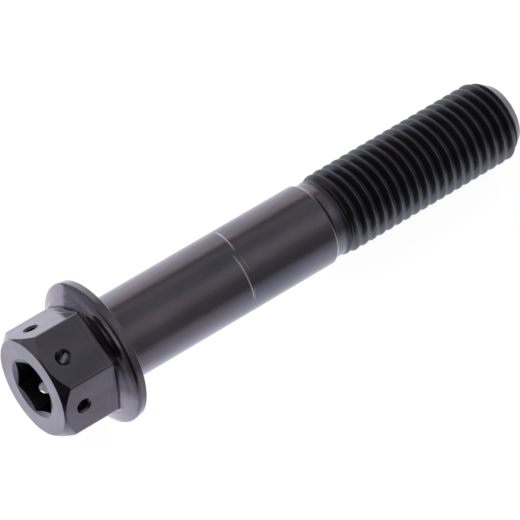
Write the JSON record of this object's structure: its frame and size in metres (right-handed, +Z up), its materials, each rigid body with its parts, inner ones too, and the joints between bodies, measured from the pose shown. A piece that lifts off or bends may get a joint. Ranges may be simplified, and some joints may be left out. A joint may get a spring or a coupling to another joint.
{
  "type": "flange bolt",
  "caption": "Dark coated flange bolt with a hexagon head, a hexagon socket, cross-drilled wire holes, a plain shank and a fine rolled thread.",
  "frame": {"origin": "centre of the bearing face under the flange, where the shank starts", "axes": "the bolt lies at rest on its flange rim and thread end: +X from the head towards the thread end, which is 3.7 degrees lower, and +Z up"},
  "size_m": [0.0666, 0.0172, 0.0171],
  "materials": {
    "coated_titanium": "glossy dark violet-grey hard coating on machined titanium"
  },
  "bodies": {
    "root": {"flange_bolt": "coated_titanium"}
  },
  "joints": []
}
